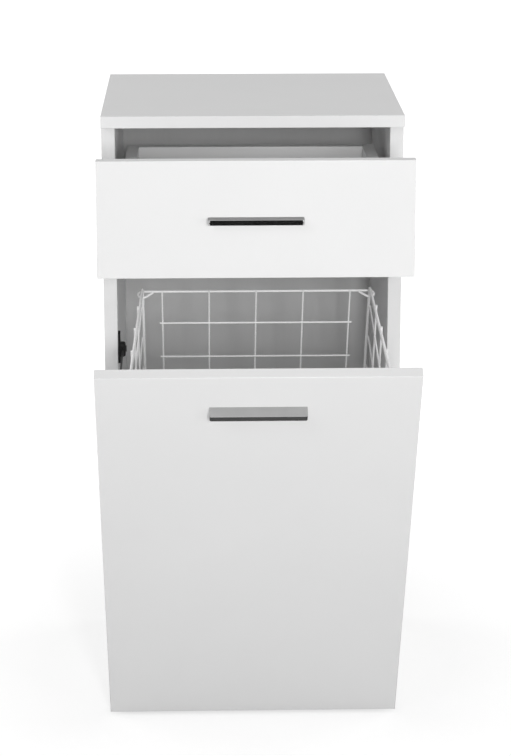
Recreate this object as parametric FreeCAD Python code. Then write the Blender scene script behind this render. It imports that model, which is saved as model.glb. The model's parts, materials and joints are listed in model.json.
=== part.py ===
# Bathroom base cabinet: a drawer over a tilting flap that carries a wire laundry basket.
# Millimetres. X runs to the right, Y runs to the back, Z runs up from the floor.
# Everything is drawn closed with Y = 0 on the front edges of the side boards. The drawer is then
# pulled out, the flap is tilted open, and the whole is centred over the floor origin.
import FreeCAD
import Part
import math
import os

os.makedirs("parts", exist_ok=True)
Vector = FreeCAD.Vector
RIGHT = Vector(1, 0, 0)
BACK = Vector(0, 1, 0)
UP = Vector(0, 0, 1)

# Carcass boards
WIDTH = 400.0
HEIGHT = 850.0
DEPTH = 320.0
SIDE_THICK = 18.0
TOP_THICK = 16.0
BASE_THICK = 16.0
BACK_THICK = 3.0
BACK_INSET = 1.5
TOP_OVERHANG = 18.0
BASE_LIFT = 12.0
CROSS_RAIL_DEPTH = 60.0
EDGE_ROUND = 1.0

# Feet, dowels and nails
GLIDE_HEIGHT = 5.0
GLIDE_RADIUS = 8.0
GLIDE_INSET = 9.0
GLIDE_ROUND = 1.5
GLIDE_PIN_RADIUS = 1.5
GLIDE_PIN_LENGTH = 14.0
DOWEL_RADIUS = 4.0
DOWEL_LENGTH = 30.0
DOWEL_IN_FACE = 11.0
DOWEL_INSET = 34.0
NAIL_RADIUS = 0.8
NAIL_HEAD_RADIUS = 1.8
NAIL_HEAD_HEIGHT = 0.8
NAIL_LENGTH = 20.0
FIT_PLAY = 0.05

# Fronts
FRONT_THICK = 16.0
FRONT_GAP = 2.0
FRONT_SPLIT = 3.0
SIDE_REVEAL = 1.0
DRAWER_REVEAL = 8.0
DRAWER_FRONT_HEIGHT = 150.0

# Drawer box
DRAWER_PULL = 174.0
DRAWER_BOARD = 16.0
DRAWER_SIDE_HEIGHT = 94.0
DRAWER_SIDE_LIFT = 15.0
DRAWER_BACK_ROOM = 26.0
DRAWER_BOTTOM_THICK = 3.0
GROOVE_DEPTH = 6.0
GROOVE_LIFT = 10.0
GROOVE_PLAY = 0.1
DRAWER_DOWEL_RADIUS = 3.0
DRAWER_DOWEL_IN_FACE = 9.0

# Roller runners
RUNNER_GAP = 12.5
RUNNER_SHEET = 1.2
RUNNER_LENGTH = 270.0
RUNNER_SETBACK = 2.0
RAIL_LIFT = 4.0
RAIL_HEIGHT = 17.6
RAIL_FLANGE = 9.8
RAIL_NOTCH = 24.0
SLIDE_HEIGHT = 22.0
SLIDE_FLANGE = 8.3
SLIDE_FOOT = 13.0
ROLLER_PLAY = 0.3
ROLLER_WIDTH = 6.0
ROLLER_SIDE_GAP = 2.0
ROLLER_ROUND = 0.6
ROLLER_END_INSET = 10.0
ROLLER_PIN_RADIUS = 2.0
ROLLER_PIN_PLAY = 0.05
RIVET_RADIUS = 3.0
RIVET_HEIGHT = 0.6

# Flap hinges
FLAP_ANGLE = 28.0
HINGE_SPREAD = 120.0
HINGE_DROP = 2.6
KNUCKLE_RADIUS = 2.3
HINGE_PIN_RADIUS = 1.1
HINGE_PIN_PLAY = 0.05
LEAF_THICK = 0.9
LEAF_LENGTH = 50.0
LEAF_HEIGHT = 14.0
KNUCKLE_END_PLAY = 0.3
KNUCKLE_TOP_PLAY = 0.5

# Flap stay: a curved bar that slides through a guide on the left side
STAY_BELOW_FLAP_TOP = 150.0
STAY_BAR_HEIGHT = 8.0
STAY_BAR_THICK = 2.0
STAY_BAR_STANDOFF = 5.0
STAY_PLAY = 0.4
STAY_GUIDE_THICK = 10.0
STAY_GUIDE_LENGTH = 14.0
STAY_GUIDE_SETBACK = 4.0
STAY_GUIDE_ABOVE = 11.0
STAY_GUIDE_BELOW = 8.0
STAY_GUIDE_ROUND = 3.0
STAY_PLATE_THICK = 3.0
STAY_PLATE_ABOVE = 27.0
STAY_PLATE_BELOW = 18.0
STAY_PLATE_ROUND = 6.0
STAY_SCREW_INSET = 5.0
STAY_STOP_LENGTH = 3.0
STAY_STOP_WIDTH = 6.0
STAY_FOOT_WIDTH = 16.0
STAY_FOOT_HEIGHT = 40.0

# Handles
HANDLE_LENGTH = 120.0
HANDLE_REACH = 17.0
HANDLE_HEIGHT = 7.0
HANDLE_WALL = 1.6
HANDLE_CORNER = 2.5
HANDLE_SCREW_SPACING = 96.0
HANDLE_BOSS_RADIUS = 2.6
HANDLE_SCREW_RADIUS = 1.5
HANDLE_SCREW_GRIP = 9.0
FLAP_HANDLE_DROP = 54.0

# Screws
SCREW_RADIUS = 1.4
SCREW_LENGTH = 12.0
SCREW_HEAD_RADIUS = 3.0
SCREW_HEAD_HEIGHT = 1.0
SMALL_SCREW_RADIUS = 1.2
SMALL_SCREW_HEAD_RADIUS = 2.4
SMALL_SCREW_HEAD_HEIGHT = 1.4
SMALL_SCREW_LENGTH = 10.0

# Basket
BASKET_SIDE_ROOM = 11.0
BASKET_OFFSET = 5.0
BASKET_FLARE = 13.0
BASKET_FRONT_GAP = 5.0
BASKET_BACK_ROOM = 28.0
BASKET_BASE_ROOM = 72.0
BASKET_TOP_ROOM = 60.0
BASKET_RIM_FALL = 77.0
BASKET_RIM_DROP = 2.0
FRAME_WIRE = 2.0
RIM_WIRE = 1.6
MESH_WIRE = 1.25
FRAME_BEND = 8.0
MESH_PITCH = 63.5
MESH_ROW_PITCH = 57.0
BACK_FIRST_ROW = 55.0
BACK_ROW_PITCH = 64.0
MESH_EDGE_ROOM = 12.0
MESH_OVERHANG = 4.0
HOOK_RADIUS = 6.0
HOOK_TURN = 40.0
WELD_SHARE = 0.75
CLIP_WIDTH = 26.0
CLIP_HEIGHT = 16.0
CLIP_WALL = 3.5
CLIP_EDGE = 6.0
CLIP_ROUND = 1.0

# Positions given as shares of a run
knuckle_shares = (0.32, 0.68)
leaf_screw_shares = (-0.34, 0.34)
dowel_rail_shares = (0.3, 0.7)
nail_height_shares = (0.04, 0.27, 0.5, 0.73, 0.96)
nail_width_shares = (-0.4, 0.0, 0.4)
drawer_dowel_shares = (0.38, 0.75)
runner_screw_shares = (0.2, 0.82)
foot_screw_shares = (-0.36, 0.36)
side_upright_shares = (0.2, 0.4, 0.6, 0.8)
floor_cross_shares = (0.05, 0.35, 0.65, 0.95)
front_cross_shares = (0.04, 0.5, 0.96)
clip_screw_share = 0.72

# Values worked out from the sizes
half = WIDTH / 2
inner_half = half - SIDE_THICK
side_depth = DEPTH - BACK_THICK
top_under = HEIGHT - TOP_THICK
base_top = BASE_LIFT + BASE_THICK
front_half = half - SIDE_REVEAL
drawer_top = top_under - DRAWER_REVEAL
drawer_base = drawer_top - DRAWER_FRONT_HEIGHT
flap_top = drawer_base - FRONT_SPLIT
rail_base = flap_top - BASE_THICK
front_face = FRONT_GAP + FRONT_THICK
hinge_z = BASE_LIFT - HINGE_DROP
hinge_y = -FRONT_GAP / 2
tilt = math.radians(FLAP_ANGLE)
front_reach = (front_face + hinge_y) * math.cos(tilt) + (flap_top - hinge_z) * math.sin(tilt) - hinge_y
centre_shift = (front_reach - DEPTH) / 2
hinge_axis = Vector(0, hinge_y, hinge_z)
stay_radius = flap_top - STAY_BELOW_FLAP_TOP - hinge_z
basket_half = inner_half - BASKET_SIDE_ROOM - BASKET_OFFSET - BASKET_FLARE
basket_base = base_top + BASKET_BASE_ROOM
basket_front_top = flap_top - BASKET_TOP_ROOM
basket_back_top = basket_front_top - BASKET_RIM_FALL
columns_each_side = int((basket_half - MESH_EDGE_ROOM) / MESH_PITCH)
mesh_columns = range(-columns_each_side, columns_each_side + 1)


def block(x0, x1, y0, y1, z0, z1):
    return Part.makeBox(x1 - x0, y1 - y0, z1 - z0, Vector(x0, y0, z0))


def rod(start, end, radius):
    return Part.makeCylinder(radius, (end - start).Length, start, end - start)


def drilled(shape, holes):
    return shape.cut(Part.makeCompound(holes))


def mirrored(shape):
    return shape.mirror(Vector(0, 0, 0), RIGHT)


def softened(shape, radius, chosen):
    """Round the edges whose bounds are chosen."""
    return shape.makeFillet(radius, [edge for edge in shape.Edges if chosen(edge.BoundBox)])


def rounded_front(board):
    """Round the four edges of a board's front face."""
    face_y = board.BoundBox.YMin
    return softened(board, EDGE_ROUND, lambda box: box.YMax < face_y + FIT_PLAY)


def pan_screw(seat, along, length, radius=SCREW_RADIUS):
    """Screw whose flat head stands on the seat and whose shank runs along."""
    shank = Part.makeCylinder(radius, length, seat, along)
    return shank.fuse(Part.makeCylinder(SCREW_HEAD_RADIUS, SCREW_HEAD_HEIGHT, seat, -along))


def pilot(seat, along, length, radius=SCREW_RADIUS):
    """Hole for a shank that starts at the seat."""
    return Part.makeCylinder(radius + FIT_PLAY, length + FIT_PLAY, seat, along)


def small_screw(seat, along, play=0.0):
    """Countersunk screw, flush with its seat; with play it is the hole for one."""
    head_radius = SMALL_SCREW_HEAD_RADIUS + play
    radius = SMALL_SCREW_RADIUS + play
    cone = Part.makeCone(head_radius, radius, SMALL_SCREW_HEAD_HEIGHT, seat, along)
    return cone.fuse(Part.makeCylinder(radius, SMALL_SCREW_LENGTH + play, seat, along))


def save(name, shapes, move=None):
    shape = shapes[0] if len(shapes) == 1 else Part.makeCompound(shapes)
    shape = shape.copy()
    if move:
        move(shape)
    shape.translate(Vector(0, centre_shift, 0))
    shape.exportStep("parts/" + name + ".step")


def pulled_out(shape):
    shape.translate(Vector(0, -DRAWER_PULL, 0))


def tilted_open(shape):
    shape.rotate(hinge_axis, RIGHT, FLAP_ANGLE)


# Dowels between the carcass boards
side_middle = half - SIDE_THICK / 2
dowel_ys = (DOWEL_INSET, side_depth - DOWEL_INSET)
dowel_depth = DOWEL_LENGTH - DOWEL_IN_FACE
dowels = []
dowel_holes = []
for sign in (-1, 1):
    for y in dowel_ys:
        foot = Vector(sign * side_middle, y, top_under - dowel_depth)
        dowels.append(Part.makeCylinder(DOWEL_RADIUS, DOWEL_LENGTH, foot, UP))
        dowel_holes.append(pilot(foot, UP, DOWEL_LENGTH, DOWEL_RADIUS))
    rail_ys = [CROSS_RAIL_DEPTH * share for share in dowel_rail_shares]
    seats = [(y, BASE_LIFT + BASE_THICK / 2) for y in dowel_ys]
    seats += [(y, rail_base + BASE_THICK / 2) for y in rail_ys]
    for y, z in seats:
        foot = Vector(sign * (inner_half + DOWEL_IN_FACE), y, z)
        dowels.append(Part.makeCylinder(DOWEL_RADIUS, DOWEL_LENGTH, foot, RIGHT * -sign))
        dowel_holes.append(pilot(foot, RIGHT * -sign, DOWEL_LENGTH, DOWEL_RADIUS))
save("carcass_dowels", dowels)

# Nails that hold the back panel
back_height = top_under - GLIDE_HEIGHT
nail_spots = []
for share in nail_height_shares:
    for sign in (-1, 1):
        nail_spots.append((sign * side_middle, GLIDE_HEIGHT + share * back_height))
for share in nail_width_shares:
    nail_spots.append((share * WIDTH, BASE_LIFT + BASE_THICK / 2))
nails = []
nail_holes = []
for x, z in nail_spots:
    seat = Vector(x, DEPTH, z)
    sunk = seat - BACK * NAIL_HEAD_HEIGHT
    nails.append(Part.makeCylinder(NAIL_RADIUS, NAIL_LENGTH, seat, -BACK).fuse(
        Part.makeCylinder(NAIL_HEAD_RADIUS, NAIL_HEAD_HEIGHT, seat, -BACK)))
    nail_holes.append(Part.makeCylinder(NAIL_HEAD_RADIUS + FIT_PLAY, NAIL_HEAD_HEIGHT, seat, -BACK))
    nail_holes.append(pilot(sunk, -BACK, NAIL_LENGTH, NAIL_RADIUS))
save("back_panel_nails", nails)

# Glides under the side boards
glides = []
glide_holes = []
for sign in (-1, 1):
    for y in (GLIDE_INSET, side_depth - GLIDE_INSET):
        spot = Vector(sign * side_middle, y, 0)
        seat = spot + UP * GLIDE_HEIGHT
        pad = Part.makeCylinder(GLIDE_RADIUS, GLIDE_HEIGHT, spot, UP)
        pad = softened(pad, GLIDE_ROUND, lambda box: box.ZMax < FIT_PLAY)
        glides.append(pad.fuse(Part.makeCylinder(GLIDE_PIN_RADIUS, GLIDE_PIN_LENGTH, seat, UP)))
        glide_holes.append(pilot(seat, UP, GLIDE_PIN_LENGTH, GLIDE_PIN_RADIUS))
save("foot_glides", glides)

# Runner sizes shared by the rails, slides, rollers and screws
drawer_half = inner_half - RUNNER_GAP
box_base = drawer_base + DRAWER_SIDE_LIFT
box_top = box_base + DRAWER_SIDE_HEIGHT
box_back = side_depth - DRAWER_BACK_ROOM
box_inner = drawer_half - DRAWER_BOARD
rail_low = box_base + RAIL_LIFT
rail_high = rail_low + RAIL_HEIGHT
rail_web = inner_half - RUNNER_SHEET
slide_web = drawer_half + RUNNER_SHEET
slide_high = box_base + SLIDE_HEIGHT
channel = RAIL_HEIGHT - RUNNER_SHEET * 2
roller_radius = channel / 2 - ROLLER_PLAY
rear_roller_z = rail_low + RAIL_HEIGHT / 2
front_roller_z = slide_high - ROLLER_PLAY - roller_radius
front_roller_y = RUNNER_SETBACK + ROLLER_END_INSET
rear_roller_y = RUNNER_LENGTH - ROLLER_END_INSET
roller_outer = rail_web - ROLLER_SIDE_GAP
roller_inner = roller_outer - ROLLER_WIDTH
screw_ys = [RUNNER_SETBACK + RUNNER_LENGTH * share for share in runner_screw_shares]

rail_screws = []
rail_screw_holes = []
for sign in (-1, 1):
    for y in screw_ys:
        seat = Vector(sign * rail_web, y, rear_roller_z)
        rail_screws.append(pan_screw(seat, RIGHT * sign, SCREW_LENGTH))
        rail_screw_holes.append(pilot(seat, RIGHT * sign, SCREW_LENGTH))
save("runner_rail_screws", rail_screws)

# Guide of the flap stay, on the left side board
guide_face = STAY_GUIDE_THICK - inner_half
guide_y0 = STAY_GUIDE_SETBACK
guide_y1 = STAY_GUIDE_SETBACK + STAY_GUIDE_LENGTH
guide_z = hinge_z + stay_radius
guide_low = guide_z - STAY_GUIDE_BELOW
guide_high = guide_z + STAY_GUIDE_ABOVE
plate_face = STAY_PLATE_THICK - inner_half
plate_low = guide_z - STAY_PLATE_BELOW
plate_high = guide_z + STAY_PLATE_ABOVE
guide_screws = []
guide_screw_holes = []
for z in (plate_low + STAY_SCREW_INSET, plate_high - STAY_SCREW_INSET):
    seat = Vector(plate_face, (guide_y0 + guide_y1) / 2, z)
    length = STAY_PLATE_THICK + SCREW_LENGTH
    guide_screws.append(pan_screw(seat, -RIGHT, length))
    guide_screw_holes.append(pilot(seat, -RIGHT, length))
save("stay_guide_screws", guide_screws)

# Hinge leaves, pins and screws at the foot of the flap
leaf_top = BASE_LIFT + LEAF_HEIGHT
knuckle_top = hinge_z + KNUCKLE_RADIUS + KNUCKLE_TOP_PLAY
frame_leaves = []
flap_leaves = []
hinge_pins = []
frame_leaf_screws = []
flap_leaf_screws = []
frame_leaf_holes = []
flap_leaf_holes = []
for sign in (-1, 1):
    left = sign * HINGE_SPREAD - LEAF_LENGTH / 2
    right = left + LEAF_LENGTH
    cut0 = left + LEAF_LENGTH * knuckle_shares[0]
    cut1 = left + LEAF_LENGTH * knuckle_shares[1]
    pin_end = Vector(left, hinge_y, hinge_z)
    bore = Part.makeCylinder(HINGE_PIN_RADIUS + HINGE_PIN_PLAY, LEAF_LENGTH, pin_end, RIGHT)
    frame_leaf = block(left, right, -LEAF_THICK, 0, knuckle_top, leaf_top)
    for x0, x1 in ((left, cut0 - KNUCKLE_END_PLAY), (cut1 + KNUCKLE_END_PLAY, right)):
        knuckle = Part.makeCylinder(KNUCKLE_RADIUS, x1 - x0, Vector(x0, hinge_y, hinge_z), RIGHT)
        frame_leaf = frame_leaf.fuse(knuckle.fuse(block(x0, x1, -LEAF_THICK, 0, hinge_z, knuckle_top)))
    flap_leaf = block(left, right, -FRONT_GAP, LEAF_THICK - FRONT_GAP, knuckle_top, leaf_top)
    knuckle = Part.makeCylinder(KNUCKLE_RADIUS, cut1 - cut0, Vector(cut0, hinge_y, hinge_z), RIGHT)
    flap_leaf = flap_leaf.fuse(knuckle.fuse(
        block(cut0, cut1, -FRONT_GAP, LEAF_THICK - FRONT_GAP, hinge_z, knuckle_top)))
    frame_seats = []
    flap_seats = []
    for share in leaf_screw_shares:
        x = sign * HINGE_SPREAD + LEAF_LENGTH * share
        z = (knuckle_top + leaf_top) / 2
        frame_seats.append(Vector(x, -LEAF_THICK, z))
        flap_seats.append(Vector(x, LEAF_THICK - FRONT_GAP, z))
    holes = [small_screw(seat, BACK, FIT_PLAY) for seat in frame_seats]
    frame_leaves.append(drilled(frame_leaf, holes + [bore]))
    frame_leaf_holes += holes
    frame_leaf_screws += [small_screw(seat, BACK) for seat in frame_seats]
    holes = [small_screw(seat, -BACK, FIT_PLAY) for seat in flap_seats]
    flap_leaves.append(drilled(flap_leaf, holes + [bore]))
    flap_leaf_holes += holes
    flap_leaf_screws += [small_screw(seat, -BACK) for seat in flap_seats]
    hinge_pins.append(Part.makeCylinder(HINGE_PIN_RADIUS, LEAF_LENGTH, pin_end, RIGHT))
save("hinge_frame_leaves", frame_leaves)
save("hinge_pins", hinge_pins)
save("hinge_frame_screws", frame_leaf_screws)
save("hinge_flap_leaves", flap_leaves, tilted_open)
save("hinge_flap_screws", flap_leaf_screws, tilted_open)

# Carcass boards
top_board = rounded_front(block(-half, half, -TOP_OVERHANG, DEPTH, top_under, HEIGHT))
save("top_panel", [drilled(top_board, dowel_holes)])
for name, sign in (("left_side_panel", -1), ("right_side_panel", 1)):
    x0, x1 = sorted((sign * inner_half, sign * half))
    side = block(x0, x1, 0, side_depth, GLIDE_HEIGHT, top_under)
    screw_holes = rail_screw_holes + guide_screw_holes
    save(name, [drilled(side, dowel_holes + nail_holes + glide_holes + screw_holes)])
base = block(-inner_half, inner_half, 0, side_depth, BASE_LIFT, base_top)
save("bottom_panel", [drilled(base, dowel_holes + nail_holes + frame_leaf_holes)])
rail = block(-inner_half, inner_half, 0, CROSS_RAIL_DEPTH, rail_base, flap_top)
save("cross_rail", [drilled(rail, dowel_holes)])
back = block(BACK_INSET - half, half - BACK_INSET, side_depth, DEPTH, GLIDE_HEIGHT, top_under)
save("back_panel", [drilled(back, nail_holes)])

# Runner rails on the carcass, drawn for the left and mirrored
rail_end = RUNNER_SETBACK + RUNNER_LENGTH
flange_x = RAIL_FLANGE - inner_half
web = block(-inner_half, -rail_web, RUNNER_SETBACK, rail_end, rail_low, rail_high)
low = block(-inner_half, flange_x, RUNNER_SETBACK, rail_end, rail_low, rail_low + RUNNER_SHEET)
notch_end = RUNNER_SETBACK + RAIL_NOTCH
high = block(-inner_half, flange_x, notch_end, rail_end, rail_high - RUNNER_SHEET, rail_high)
axle_foot = Vector(-rail_web, front_roller_y, front_roller_z)
axle_end = Vector(FIT_PLAY - roller_inner, front_roller_y, front_roller_z)
axle = rod(axle_foot, axle_end, ROLLER_PIN_RADIUS)
rivet = Part.makeCylinder(RIVET_RADIUS, RIVET_HEIGHT, axle_end, RIGHT)
left_rail = web.fuse([low, high, axle, rivet])
save("left_runner_rail", [drilled(left_rail, rail_screw_holes)])
save("right_runner_rail", [drilled(mirrored(left_rail), rail_screw_holes)])

# Runner slides under the drawer sides, drawn for the left and mirrored
slide_screws = []
slide_screw_holes = []
for sign in (-1, 1):
    for y in screw_ys:
        seat = Vector(sign * (drawer_half - DRAWER_BOARD / 2), y, box_base - RUNNER_SHEET)
        slide_screws.append(pan_screw(seat, UP, SCREW_LENGTH))
        slide_screw_holes.append(pilot(seat, UP, SCREW_LENGTH))
save("runner_slide_screws", slide_screws, pulled_out)
web = block(-slide_web, -drawer_half, 0, RUNNER_LENGTH, box_base - RUNNER_SHEET, slide_high + RUNNER_SHEET)
foot = block(-slide_web, SLIDE_FOOT - drawer_half, 0, RUNNER_LENGTH, box_base - RUNNER_SHEET, box_base)
track_x = -slide_web - SLIDE_FLANGE
track = block(track_x, -drawer_half, 0, RUNNER_LENGTH, slide_high, slide_high + RUNNER_SHEET)
axle_foot = Vector(-slide_web, rear_roller_y, rear_roller_z)
axle_end = Vector(-roller_outer - FIT_PLAY, rear_roller_y, rear_roller_z)
axle = rod(axle_foot, axle_end, ROLLER_PIN_RADIUS)
rivet = Part.makeCylinder(RIVET_RADIUS, RIVET_HEIGHT, axle_end, -RIGHT)
left_slide = web.fuse([foot, track, axle, rivet])
save("left_runner_slide", [drilled(left_slide, slide_screw_holes)], pulled_out)
save("right_runner_slide", [drilled(mirrored(left_slide), slide_screw_holes)], pulled_out)

# Rollers
for end, y, z, move in (("front", front_roller_y, front_roller_z, None),
                        ("rear", rear_roller_y, rear_roller_z, pulled_out)):
    foot = Vector(-roller_outer, y, z)
    wheel = Part.makeCylinder(roller_radius, ROLLER_WIDTH, foot, RIGHT)
    wheel = softened(wheel, ROLLER_ROUND, lambda box: box.XLength < FIT_PLAY)
    bore = Part.makeCylinder(ROLLER_PIN_RADIUS + ROLLER_PIN_PLAY, ROLLER_WIDTH, foot, RIGHT)
    wheel = wheel.cut(bore)
    save("left_" + end + "_roller", [wheel], move)
    save("right_" + end + "_roller", [mirrored(wheel)], move)


# Ledge handles
def handle_and_screws(middle_z):
    """Hollow ledge with two screw bosses on a front, its screws, and their holes."""
    face = -front_face
    back_left = Vector(-HANDLE_LENGTH / 2, face, middle_z - HANDLE_HEIGHT / 2)
    outer = Part.makeBox(HANDLE_LENGTH, HANDLE_REACH, HANDLE_HEIGHT, back_left - BACK * HANDLE_REACH)
    lip = face - HANDLE_REACH + FIT_PLAY
    outer = softened(outer, HANDLE_CORNER, lambda box: box.YMax < lip and box.ZLength > HANDLE_WALL)
    room_depth = HANDLE_REACH - HANDLE_WALL
    room_corner = back_left + RIGHT * HANDLE_WALL - BACK * room_depth
    room_length = HANDLE_LENGTH - HANDLE_WALL * 2
    room = Part.makeBox(room_length, room_depth, HANDLE_HEIGHT - HANDLE_WALL, room_corner)
    shell = outer.cut(room)
    screws = []
    holes = []
    for sign in (-1, 1):
        boss = Vector(sign * HANDLE_SCREW_SPACING / 2, face, middle_z - HANDLE_WALL / 2)
        shell = shell.fuse(Part.makeCylinder(HANDLE_BOSS_RADIUS, room_depth, boss, -BACK))
        seat = boss + BACK * FRONT_THICK
        length = FRONT_THICK + HANDLE_SCREW_GRIP
        screws.append(pan_screw(seat, -BACK, length, HANDLE_SCREW_RADIUS))
        holes.append(pilot(seat, -BACK, length, HANDLE_SCREW_RADIUS))
    return drilled(shell, holes), screws, holes


drawer_handle, drawer_handle_screws, drawer_handle_holes = handle_and_screws((drawer_base + drawer_top) / 2)
save("drawer_handle", [drawer_handle], pulled_out)
save("drawer_handle_screws", drawer_handle_screws, pulled_out)
flap_handle, flap_handle_screws, flap_handle_holes = handle_and_screws(flap_top - FLAP_HANDLE_DROP)
save("flap_handle", [flap_handle], tilted_open)
save("flap_handle_screws", flap_handle_screws, tilted_open)

# Drawer box
groove_low = box_base + GROOVE_LIFT
groove_high = groove_low + DRAWER_BOTTOM_THICK
groove_half = box_inner + GROOVE_DEPTH
groove = block(-groove_half, groove_half, -FRONT_GAP - GROOVE_DEPTH, box_back, groove_low, groove_high)
box_dowels = []
box_dowel_holes = []
for sign in (-1, 1):
    for share in drawer_dowel_shares:
        z = box_base + DRAWER_SIDE_HEIGHT * share
        board_x = sign * (drawer_half - DRAWER_BOARD / 2)
        front_foot = Vector(board_x, -FRONT_GAP - DRAWER_DOWEL_IN_FACE, z)
        back_foot = Vector(sign * (box_inner + DRAWER_DOWEL_IN_FACE), box_back - DRAWER_BOARD / 2, z)
        for foot, along in ((front_foot, BACK), (back_foot, RIGHT * -sign)):
            box_dowels.append(Part.makeCylinder(DRAWER_DOWEL_RADIUS, DOWEL_LENGTH, foot, along))
            box_dowel_holes.append(pilot(foot, along, DOWEL_LENGTH, DRAWER_DOWEL_RADIUS))
save("drawer_dowels", box_dowels, pulled_out)
front = rounded_front(block(-front_half, front_half, -front_face, -FRONT_GAP, drawer_base, drawer_top))
front = drilled(front, box_dowel_holes + drawer_handle_holes + [groove])
save("drawer_front", [front], pulled_out)
for name, sign in (("drawer_left_side", -1), ("drawer_right_side", 1)):
    x0, x1 = sorted((sign * box_inner, sign * drawer_half))
    side = block(x0, x1, -FRONT_GAP, box_back, box_base, box_top)
    save(name, [drilled(side, box_dowel_holes + slide_screw_holes + [groove])], pulled_out)
back = block(-box_inner, box_inner, box_back - DRAWER_BOARD, box_back, groove_high, box_top)
save("drawer_back", [drilled(back, box_dowel_holes)], pulled_out)
sheet_half = groove_half - GROOVE_PLAY
sheet_front = GROOVE_PLAY - FRONT_GAP - GROOVE_DEPTH
sheet = block(-sheet_half, sheet_half, sheet_front, box_back, groove_low, groove_high - GROOVE_PLAY)
save("drawer_bottom", [sheet], pulled_out)


# Stay bar: an arc about the hinge axis, fixed to the flap
def arc_bar(x0, x1, inner, outer, start, end):
    """Bar of rectangular section swept about the hinge axis, start and end in degrees back from upright."""
    corners = [Vector(x0, hinge_y, hinge_z + inner), Vector(x1, hinge_y, hinge_z + inner),
               Vector(x1, hinge_y, hinge_z + outer), Vector(x0, hinge_y, hinge_z + outer)]
    section = Part.Face(Part.makePolygon(corners + corners[:1]))
    section.rotate(hinge_axis, RIGHT, -start)
    return section.revolve(hinge_axis, -RIGHT, end - start)


bar_x0 = STAY_BAR_STANDOFF - inner_half
bar_x1 = bar_x0 + STAY_BAR_THICK
bar_inner = stay_radius - STAY_BAR_HEIGHT / 2
bar_outer = stay_radius + STAY_BAR_HEIGHT / 2
stop_start = FLAP_ANGLE + math.degrees(math.atan((guide_y1 - hinge_y + STAY_PLAY) / bar_inner))
stop_end = stop_start + math.degrees(STAY_STOP_LENGTH / stay_radius)
bar = arc_bar(bar_x0, bar_x1, bar_inner, bar_outer, 0, stop_end)
stop = arc_bar(bar_x0, bar_x0 + STAY_STOP_WIDTH, bar_inner, bar_outer, stop_start, stop_end)
foot_low = guide_z - STAY_FOOT_HEIGHT / 2
foot_top = foot_low + STAY_FOOT_HEIGHT
foot = block(bar_x0, bar_x0 + STAY_FOOT_WIDTH, -FRONT_GAP, STAY_BAR_THICK - FRONT_GAP, foot_low, foot_top)
foot_screws = []
foot_holes = []
for share in foot_screw_shares:
    seat = Vector(bar_x0 + STAY_FOOT_WIDTH / 2 + STAY_BAR_THICK / 2, STAY_BAR_THICK - FRONT_GAP,
                  guide_z + STAY_FOOT_HEIGHT * share)
    foot_screws.append(pan_screw(seat, -BACK, SCREW_LENGTH))
    foot_holes.append(pilot(seat, -BACK, SCREW_LENGTH))
save("stay_bar", [drilled(bar.fuse([stop, foot]), foot_holes)], tilted_open)
save("stay_bar_screws", foot_screws, tilted_open)
guide = block(-inner_half, guide_face, guide_y0, guide_y1, guide_low, guide_high)
guide = softened(guide, STAY_GUIDE_ROUND, lambda box: box.XMax > guide_face - FIT_PLAY)
plate = block(-inner_half, plate_face, guide_y0, guide_y1, plate_low, plate_high)
plate = softened(plate, STAY_PLATE_ROUND, lambda box: box.XLength > STAY_PLATE_THICK - FIT_PLAY)
guide = guide.fuse(plate)
slot_radii = (bar_inner - STAY_PLAY, bar_outer + STAY_PLAY)
slot = arc_bar(bar_x0 - STAY_PLAY, bar_x1 + STAY_PLAY, *slot_radii, 0, FLAP_ANGLE)
save("stay_guide", [drilled(guide, guide_screw_holes + [slot])])


# Wire basket, hung on the back of the flap
def pipe(edges, radius):
    path = Part.Wire(edges)
    start = edges[0].valueAt(edges[0].FirstParameter)
    along = edges[0].tangentAt(edges[0].FirstParameter)
    ring = Part.Wire(Part.makeCircle(radius, start, along))
    return path.makePipeShell([ring], True, False)


def bent_loop(points, bend):
    """Closed path of straight runs joined by arcs, starting on the middle of the last run."""
    ends = []
    for i, corner in enumerate(points):
        to_last = (points[i - 1] - corner).normalize()
        to_next = (points[(i + 1) % len(points)] - corner).normalize()
        opening = to_last.getAngle(to_next)
        run = bend / math.tan(opening / 2)
        inward = (to_last + to_next).normalize()
        middle = corner + inward * (bend / math.sin(opening / 2) - bend)
        ends.append((corner + to_last * run, middle, corner + to_next * run))
    start = (ends[-1][2] + ends[0][0]) / 2
    edges = []
    here = start
    for first, middle, last in ends:
        edges.append(Part.LineSegment(here, first).toShape())
        edges.append(Part.Arc(first, middle, last).toShape())
        here = last
    edges.append(Part.LineSegment(here, start).toShape())
    return edges


frame_front = BASKET_FRONT_GAP - FRONT_GAP
frame_back = side_depth - BASKET_BACK_ROOM
frame_run = frame_back - frame_front
slant = math.atan(BASKET_FLARE / frame_run)
flat_run = frame_run / math.cos(slant)
flat_front = frame_back - flat_run
weld = (FRAME_WIRE + MESH_WIRE) * WELD_SHARE
hug = FRAME_WIRE + RIM_WIRE + FIT_PLAY


def cross_wire(reach, y, z, radius):
    """Straight wire across the basket, reaching as far to each side of its middle plane."""
    return rod(Vector(BASKET_OFFSET - reach, y, z), Vector(BASKET_OFFSET + reach, y, z), radius)


def side_x(y):
    """Distance of a side frame from the basket's middle plane."""
    return basket_half + BASKET_FLARE * (frame_back - y) / frame_run


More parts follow.
